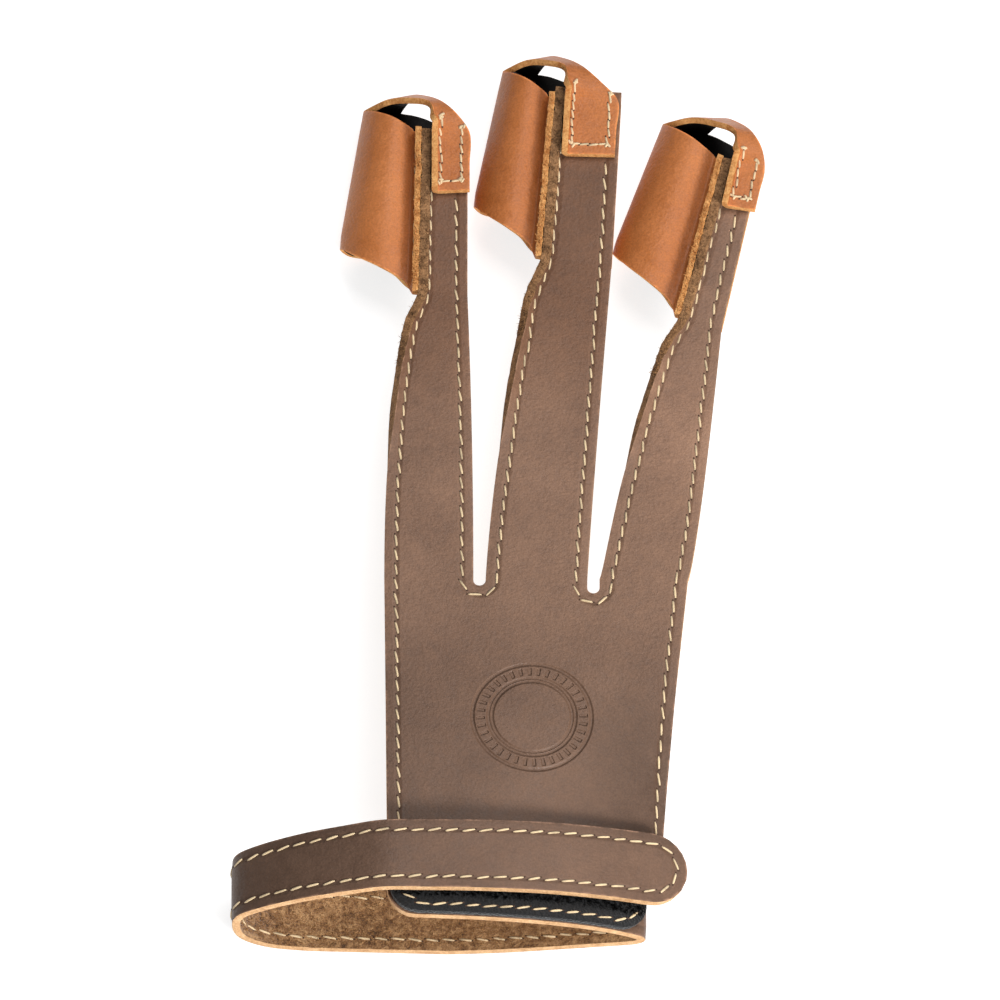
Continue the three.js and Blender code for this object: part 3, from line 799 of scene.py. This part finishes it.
def makeCutEdge(name, dark, light, rawDark=None, rawLight=None):
    material, tree, shader = newFinish(name, light, 0.85)
    shader.inputs["Specular IOR Level"].default_value = 0.2
    fibres = addNoise(tree, 0.5, 4, 0.7)
    patches = addNoise(tree, 2.2, 4, 0.65)
    tone = addSum(tree, [(fibres, 0.5), (patches, 0.5)])
    colour = addRamp(tree, tone, [(0.36, dark), (0.62, light)])
    if rawDark:  # the edges of the finger strips are left raw
        where = addNode(tree, "TexCoord").outputs["Object"]
        along = addNode(tree, "SeparateXYZ", {"Vector": where}).outputs["Y"]
        start = toScene((0, knuckleLine, 0)).y
        raw = addRange(tree, along, start, start + 0.03)
        colour = blendColours(tree, raw, colour, addRamp(tree, tone, [(0.36, rawDark), (0.64, rawLight)]))
    tree.links.new(colour, shader.inputs["Base Color"])
    addBump(tree, shader, [(fibres, 1.0), (patches, 0.5)], 0.25)
    return material


def makeNylon(name, colour):
    material, tree, shader = newFinish(name, colour, 0.6)
    shader.inputs["Specular IOR Level"].default_value = 0.15
    weave = addNoise(tree, 0.3, 2)
    folds = addNoise(tree, 5, 2)
    tree.links.new(addRange(tree, folds, 0.3, 0.7, 0.5, 0.7), shader.inputs["Roughness"])
    addBump(tree, shader, [(weave, 0.4), (folds, 2.0)], 0.12)
    return material


def makePile(name, dark, light):
    material, tree, shader = newFinish(name, dark, 0.9)
    shader.inputs["Sheen Weight"].default_value = 0.15
    loops = addPebbles(tree, 0.55, 0.3)
    tufts = addNoise(tree, 0.9, 4, 0.7)
    tone = addSum(tree, [(loops, 0.5), (tufts, 0.5)])
    tree.links.new(addRamp(tree, tone, [(0.35, dark), (0.75, light)]), shader.inputs["Base Color"])
    addBump(tree, shader, [(loops, -1.0), (tufts, 0.8)], 0.3)
    return material


def makeThread(name, colour):
    material, tree, shader = newFinish(name, colour, 0.6)
    shader.inputs["Sheen Weight"].default_value = 0.2
    soil = addNoise(tree, 3, 3)
    soiled = tuple(c * 0.6 for c in colour)
    tree.links.new(addRamp(tree, soil, [(0.3, soiled), (0.55, colour)]), shader.inputs["Base Color"])
    addBump(tree, shader, [(addNoise(tree, 0.16, 2), 1.0)], 0.06)
    return material


brownGrain = makeGrain("brown grain", colourOf(100, 74, 58), colourOf(130, 99, 79), 0.5, True)
brownSuede = makeSuede("brown suede", colourOf(74, 48, 26), colourOf(150, 108, 68), colourOf(214, 170, 120))
brownEdge = makeCutEdge("brown cut edge", colourOf(180, 134, 90), colourOf(230, 188, 142),
                        colourOf(78, 54, 34), colourOf(184, 138, 96))
tanGrain = makeGrain("tan grain", colourOf(172, 98, 46), colourOf(200, 122, 66), 0.42)
tanEdge = makeCutEdge("tan cut edge", colourOf(178, 108, 52), colourOf(238, 180, 114))
blackNylon = makeNylon("black nylon lining", colourOf(14, 11, 10))
blackTape = makePile("black tape", colourOf(8, 8, 9), colourOf(28, 28, 30))
blackPile = makeNylon("black pile", colourOf(15, 15, 16))
brownFibre = makeCutEdge("brown fibres", colourOf(96, 66, 42), colourOf(196, 148, 102))
loopFibre = makeCutEdge("suede fibres", colourOf(110, 74, 42), colourOf(208, 160, 108))
creamThread = makeThread("cream thread", colourOf(228, 202, 160))
holeShade = newFinish("needle holes", colourOf(76, 53, 38), 0.9)[0]


# The seam line of a sheet: points inset from its cut edge, each with the sheet's normal there
def insetLines(mesh, inset):
    mesh.normal_update()
    tree = BVHTree.FromBMesh(mesh)
    following, rim = {}, []
    for edge in mesh.edges:
        if edge.is_boundary:
            loop = edge.link_loops[0]
            following[loop.vert] = loop.link_loop_next.vert
    lines = []
    while following:
        start = next(iter(following))
        loop, vert = [], start
        while vert in following:
            loop.append(vert.co.copy())
            vert = following.pop(vert)
        lines.append(walk([(p, None) for p in loop + [loop[0]]], 0.4))
        rim += [p for p, normal in lines[-1]]
    edges = KDTree(len(rim))
    for i, point in enumerate(rim):
        edges.insert(point, i)
    edges.balance()
    found = []
    for line in lines:
        row = []
        for i, (p, normal) in enumerate(line):
            ahead, behind = line[(i + 3) % len(line)][0], line[i - 3][0]
            along = (ahead - behind).normalized()
            normal = tree.find_nearest(p)[1]
            spot, normal = tree.find_nearest(p + normal.cross(along).normalized() * inset)[:2]
            if edges.find(spot)[2] > 0.7 * inset:
                row.append((spot, normal))
        found.append(row)
    return found


# Walks a row of (point, normal) pairs at even steps
def walk(row, step):
    marks = [0.0]
    for (a, normalA), (b, normalB) in zip(row, row[1:]):
        marks.append(marks[-1] + (b - a).length)
    cells = max(1, round(marks[-1] / step))
    stops = []
    for k in range(cells):
        distance = marks[-1] * (k + 0.5) / cells
        i = min(bisect_right(marks, distance), len(marks) - 1)
        share = (distance - marks[i - 1]) / max(marks[i] - marks[i - 1], 1e-9)
        (a, normalA), (b, normalB) = row[i - 1], row[i]
        stops.append((a.lerp(b, share), normalA.lerp(normalB, share).normalized() if normalA else None))
    return stops


def splitRow(row, keep):  # the stretches of a row whose points are kept
    stretches, current = [], []
    for spot, normal in row:
        if keep(spot) and (not current or (spot - current[-1][0]).length < 2):
            current.append((spot, normal))
        else:
            if len(current) > 5:
                stretches.append(current)
            current = [(spot, normal)] if keep(spot) else []
    return stretches + ([current] if len(current) > 5 else [])


threads, holes = bmesh.new(), bmesh.new()


def stitchShape():
    mesh = bmesh.new()
    bmesh.ops.create_uvsphere(mesh, u_segments=8, v_segments=7, radius=1)
    bmesh.ops.rotate(mesh, verts=mesh.verts, matrix=Matrix.Rotation(math.pi / 2, 3, "Y"))
    for vert in mesh.verts:
        reach = abs(vert.co.x)
        full = (1 - reach ** 4) ** 0.5 / max((1 - reach ** 2) ** 0.5, 1e-6) if reach < 0.999 else 1
        vert.co = Vector((vert.co.x * 0.5, vert.co.y * full, vert.co.z * full * 0.8 - 0.5 * reach ** 4))
    return meshData(mesh, "stitch shape")


def holeShape():
    mesh = bmesh.new()
    bmesh.ops.create_uvsphere(mesh, u_segments=8, v_segments=4, radius=1)
    return meshData(mesh, "hole shape")


def loopShape():  # one loop of the pile, standing on its two ends
    mesh = bmesh.new()
    ring = bmesh.ops.create_circle(mesh, segments=3, radius=0.07)["verts"]
    bmesh.ops.rotate(mesh, verts=ring, matrix=Matrix.Rotation(math.pi / 2, 3, "X"))
    bmesh.ops.translate(mesh, verts=ring, vec=(0.28, 0, 0))
    tube = mesh.verts[:] + mesh.edges[:]
    bmesh.ops.spin(mesh, geom=tube, axis=(0, 1, 0), cent=(0, 0, 0), angle=-math.pi, steps=5)
    bmesh.ops.recalc_face_normals(mesh, faces=mesh.faces)
    return meshData(mesh, "loop shape")


def fibreShape():  # a bent fibre that tapers to its tip
    mesh = bmesh.new()
    bmesh.ops.create_cone(mesh, segments=3, radius1=0.085, radius2=0.04, depth=1, cap_ends=True)
    long = [edge for edge in mesh.edges if abs(edge.verts[0].co.z - edge.verts[1].co.z) > 0.5]
    bmesh.ops.subdivide_edges(mesh, edges=long, cuts=2)
    for vert in mesh.verts:
        reach = vert.co.z + 0.5
        vert.co = Vector((vert.co.x + 0.35 * reach ** 2, vert.co.y, reach))
    return meshData(mesh, "fibre shape")


oneStitch, oneHole, oneLoop, oneFibre = stitchShape(), holeShape(), loopShape(), fibreShape()


def addCopy(mesh, shape, place, turn, scale):
    copy = shape.copy()
    copy.transform(Matrix.Translation(place) @ turn.to_4x4() @ Matrix.Diagonal((*scale, 1)))
    mesh.from_mesh(copy)
    bpy.data.meshes.remove(copy)


# Sews along a row of (point, normal) pairs, on the sheet's face and, if asked, on its back
def sew(row, thickness, both=False, pitch=stitching["pitch"], length=stitching["length"], tidy=1.0):
    stops = walk(row, pitch)
    for k, (spot, normal) in enumerate(stops):
        ahead = stops[k + 1][0] if k + 1 < len(stops) else row[-1][0]
        behind = stops[k - 1][0] if k else row[0][0]
        along = (ahead - behind).normalized()
        for side in (1, -1) if both else (1,):
            up = normal * side
            across = up.cross(along).normalized()
            basis = Matrix((along, across, up)).transposed()
            slant = math.radians(stitching["slant"] * side + dice.gauss(0, 2.2) / tidy)
            turn = basis @ Matrix.Rotation(slant, 3, "Z")
            place = spot + up * (thickness / 2 + 0.02) + across * dice.gauss(0, 0.06) / tidy
            size = length * dice.uniform(0.93, 1.05)
            radius = stitching["thread"] * dice.uniform(0.92, 1.08)
            addCopy(threads, oneStitch, place, turn, (size, radius, radius))
            for end in (-1, 1):
                pit = place + turn @ Vector((end * (size / 2 + 0.08), 0, 0))
                pit += up * (thickness / 2 - (pit - spot).dot(up))
                addCopy(holes, oneHole, pit, turn, (0.26, 0.2, 0.05))


# A turn that points a shape's top along up, spun about it by chance
def standing(up, spin):
    side = up.orthogonal().normalized()
    return Matrix((side, up.cross(side), up)).transposed() @ Matrix.Rotation(spin, 3, "Z")


def underTab(finger, spot):  # true where a stall's tab lies over the strip
    lean = math.radians(finger["lean"])
    x, y = spot.x - finger["mouthX"], spot.y - finger["mouthY"]
    along = x * math.sin(lean) + y * math.cos(lean)
    across = x * math.cos(lean) - y * math.sin(lean)
    return seam["length"] - finger["tabLength"] - 0.6 < along and -finger["tipStrip"] - 1 < across < 3


def sewHandLeather(mesh):
    def keep(spot):
        onArch = -1 < spot.x < wrist["archWidth"] + 2 and abs(spot.z - lineAt(wristLine, spot.x).z) < 1.6
        underTape = onArch and spot.y < tapes["loopWidth"] + 1
        return not underTape and not any(underTab(finger, spot) for finger in fingers)

    for row in insetLines(mesh, stitching["inset"]):
        for stretch in splitRow(row, keep):
            sew(stretch, leather["thickness"], both=True)


handLeather = makeHandLeather()
sewHandLeather(handLeather)
# the leather is pressed thinner along its edges, but not where the strips are left raw
handSkived = []
for vert, distance in zip(handLeather.verts, markEdges(handLeather)):
    full = max(ease(distance, 0, 3), ease(vert.co.y, knuckleLine, knuckleLine + 30))
    handSkived.append(mix(leather["pressedEdge"], 1, full))
finishSheet(handLeather, "hand_leather", leather["thickness"], [brownGrain, brownSuede, brownEdge],
            ["back_panel", "wrist_strap"], skived=handSkived)
print("hand leather made and sewn")
stallSurfaces = {}  # the tabs are sewn along them
for finger in fingers:
    body = makeStall(finger)
    stallSurfaces[finger["name"]] = BVHTree.FromBMesh(body)
    skived = [stallThickness(finger, vert.co) for vert in body.verts]
    finishSheet(body, "finger_stall_" + finger["name"], stall["thickness"], [tanGrain, blackNylon, tanEdge],
                ["stall_" + finger["name"]], skived=skived)
    finishSheet(makeLining(finger), "stall_lining_" + finger["name"], stall["lining"], [blackNylon],
                ["liner_" + finger["name"]], 0.1)
print("stalls made")
finishSheet(makeLoopTape(), "loop_patch", tapes["loopSheet"], [blackTape], ["loop_tape"])
finishSheet(makeHookTape(), "hook_patch", tapes["hookSheet"], [blackTape], ["hook_tape"])
print("tapes made")

# Sewn rows that don't follow a cut edge: the tape's, the stalls' seams and the box stitch on each tab
tabSewing = {
    "side": 1.75,  # from the tab's right edge
    "end": 2.4,
    "pitch": 2.2,
    "length": 2.2,
    "leftTop": 1.8,  # past the seam's end
    "rightTop": -0.2,
    "knot": (1.2, 0.28, 0.32),
}


def sewTape():
    start, end = leather["wristInset"] + 0.5, archLine["length"] + 0.8
    row = []
    for distance in spread(start + 2.6, end - 1.6, 0.4):
        rise = 1.7 + 3.2 * (1 - ease(min(distance - start - 1.6, end - distance - 0.6), 0, 4.5))
        normal = lineNormal(wristLine, distance)
        offset = leather["thickness"] / 2 + seam["gap"] + tapes["loopSheet"] / 2
        spot = lineAt(wristLine, distance) + normal * offset
        row.append((Vector((spot.x, rise, spot.z)), normal))
    sew(row, tapes["loopSheet"])


def sewStall(finger):
    # the seam, from the stall's side
    row = []
    for share in spread(0.03, 0.97, 0.02):
        row.append((stallPlace(finger, 0.98, share), Vector((-0.94, 0, 0.34))))
    sew(row, stall["thickness"], pitch=stitching["pitch"] * 0.95, length=2.2)
    # the tab's box
    left = stall["tabInset"] - finger["tipStrip"] + 0.4
    right = finger["tabOverhang"] - tabSewing["side"]
    low = seam["length"] - finger["tabLength"] + tabSewing["end"]

    def onTab(x, y):
        above = fingerPoint(finger, x, y, seam["stripHeight"] + seamOffset + 0.3)
        spot, normal = stallSurfaces[finger["name"]].find_nearest(above)[:2]
        return spot, normal if normal.z > 0 else -normal

    corners = [(left, seam["length"] + tabSewing["leftTop"]), (left, low), (right, low),
               (right, seam["length"] + tabSewing["rightTop"])]
    for (x1, y1), (x2, y2) in zip(corners, corners[1:]):
        row = [onTab(mix(x1, x2, i / 24), mix(y1, y2, i / 24)) for i in range(25)]
        sew(row, stall["thickness"], pitch=tabSewing["pitch"], length=tabSewing["length"], tidy=0.6)
    # the thread is knotted at the box's corners
    for x, y in corners:
        spot, up = onTab(x, y)
        for _ in range(3):
            drift = Vector((dice.gauss(0, 0.25), dice.gauss(0, 0.25), 0))
            turn = standing(up, dice.uniform(0, math.tau))
            place = spot + up * (stall["thickness"] / 2 + 0.15) + drift
            addCopy(threads, oneStitch, place, turn, tabSewing["knot"])


sewTape()
for finger in fingers:
    sewStall(finger)
newPiece(threads, "stitches", [creamThread])
newPiece(holes, "needle_holes", [holeShade])
print("seams sewn")

# Counts, and lengths in millimetres. The pile lies between two distances from the wrist edge.
pile = {"from": 3.4, "to": 12.3, "loops": 3600, "height": 0.5}
fuzz = {"strips": 1700, "seams": 1200, "loop": 5200, "length": 0.7, "girth": 0.8}


def makePileLoops():
    mesh = bmesh.new()
    start, end = leather["wristInset"] + 0.9, archLine["length"] + 0.4
    offset = leather["thickness"] / 2 + seam["gap"] + tapes["loopSheet"]
    for _ in range(pile["loops"]):
        distance, y = dice.uniform(start, end), dice.uniform(pile["from"], pile["to"])
        if y < roundCut(leather["cornerRadius"], min(distance - start, end - distance)) + 0.6:
            continue
        normal = lineNormal(wristLine, distance)
        spot = lineAt(wristLine, distance) + normal * (offset - 0.05)
        lean = (normal + Vector((dice.gauss(0, 0.3), dice.gauss(0, 0.3), 0))).normalized()
        size = dice.uniform(0.7, 1.25)
        addCopy(mesh, oneLoop, Vector((spot.x, y, spot.z)), standing(lean, dice.uniform(0, math.tau)),
                (size, 1, size * pile["height"] / 0.35))
    return mesh


# Loose fibres along the raw edges of the strips, where their margins stand up, and of the stalls' seams
def makeFuzz(amount, edgeAt, width):
    mesh = bmesh.new()
    for _ in range(amount):
        spot, up, across = edgeAt()
        base = spot + across * dice.uniform(-0.5, 0.5) * width - up * 0.1
        lean = (up + Vector([dice.gauss(0, 0.5) for _ in range(3)])).normalized()
        length = fuzz["length"] * dice.uniform(0.4, 1.3)
        turn = standing(lean, dice.uniform(0, math.tau))
        addCopy(mesh, oneFibre, base, turn, (fuzz["girth"], fuzz["girth"], length))
    return mesh


def stripEdge():
    column = dice.randrange(3)
    finger = fingers[column]
    reach = finger["mouthY"] - knuckleLine
    along = mix(-0.25 * reach, seam["length"] - 1, dice.random())
    edge, inner = stripPoint(finger, column, 0, along), stripPoint(finger, column, 0.08, along)
    up = (edge - inner).normalized()
    ahead = (stripPoint(finger, column, 0, along + 0.5) - edge).normalized()
    return edge, up, ahead.cross(up).normalized()


def loopInside():
    distance = mix(leather["wristWidth"] + 2, wristLine["length"] - archLine["length"] - 8, dice.random())
    low, high = strapEdges(distance)
    normal = -lineNormal(wristLine, distance)
    spot = lineAt(wristLine, distance) + normal * leather["thickness"] / 2
    spot.y = dice.uniform(low + 0.8, high - 0.8)
    lean = (normal + Vector([dice.gauss(0, 1.1) for _ in range(3)])).normalized()
    return spot, lean if lean.dot(normal) > 0.15 else normal, Vector((0, 0, 0))


def seamEdge():
    finger = dice.choice(fingers)
    share = dice.uniform(0.01, 0.98)
    return stallPlace(finger, 0, share), Vector((0, 0, 1)), Vector((1, 0, 0))


newPiece(makePileLoops(), "loop_pile", [blackPile])
newPiece(makeFuzz(fuzz["strips"], stripEdge, leather["thickness"]), "strip_fibres", [brownFibre])
newPiece(makeFuzz(fuzz["loop"], loopInside, 0), "loop_fibres", [loopFibre])
newPiece(makeFuzz(fuzz["seams"], seamEdge, stall["thickness"]), "seam_fibres", [tanEdge])
print("pile and fibres laid")

studio = {
    "target": (-0.00004, -0.0027, 0.010),
    "elevation": 63,
    "distance": 5,
    "viewWidth": 0.21277,
    "daylight": 0.22,
    "floorGlow": 0.8,
    # name, place, size, power
    "lamps": [("front", (0.6, -0.85, 0.6), 0.3, 15.5), ("back", (0.35, 0.5, 1.2), 0.8, 9)],
}


def addFloor():
    mesh = bmesh.new()
    bmesh.ops.create_grid(mesh, x_segments=1, y_segments=1, size=3)
    data = meshData(mesh, "floor")
    paleFloor, tree, shader = newFinish("pale floor", (0.5, 0.5, 0.5), 0.9)
    shader.inputs["Emission Color"].default_value = (1, 1, 1, 1)
    shader.inputs["Emission Strength"].default_value = studio["floorGlow"]
    data.materials.append(paleFloor)
    floor = bpy.data.objects.new("floor", data)
    bpy.context.scene.collection.objects.link(floor)


def addLights():
    world = bpy.data.worlds.new("studio")
    world.use_nodes = True
    sky = world.node_tree.nodes["Background"]
    sky.inputs["Color"].default_value = (1, 1, 1, 1)
    sky.inputs["Strength"].default_value = studio["daylight"]
    bpy.context.scene.world = world
    for name, place, size, power in studio["lamps"]:
        lamp = bpy.data.lights.new(name, "AREA")
        lamp.size = size
        lamp.energy = power
        light = bpy.data.objects.new(name, lamp)
        light.location = place
        light.rotation_euler = (-Vector(place)).to_track_quat("-Z", "Y").to_euler()
        bpy.context.scene.collection.objects.link(light)


def addCamera():
    lens = bpy.data.cameras.new("camera")
    lens.sensor_width = 36
    lens.lens = 36 * studio["distance"] / studio["viewWidth"]
    lens.clip_end = 50
    camera = bpy.data.objects.new("camera", lens)
    rise = math.radians(studio["elevation"])
    target = Vector(studio["target"])
    camera.location = target + studio["distance"] * Vector((0, -math.cos(rise), math.sin(rise)))
    camera.rotation_euler = (target - camera.location).to_track_quat("-Z", "Y").to_euler()
    bpy.context.scene.collection.objects.link(camera)
    bpy.context.scene.camera = camera
    bpy.context.scene.view_settings.view_transform = "Standard"


addFloor()
addLights()
addCamera()
print("studio set")
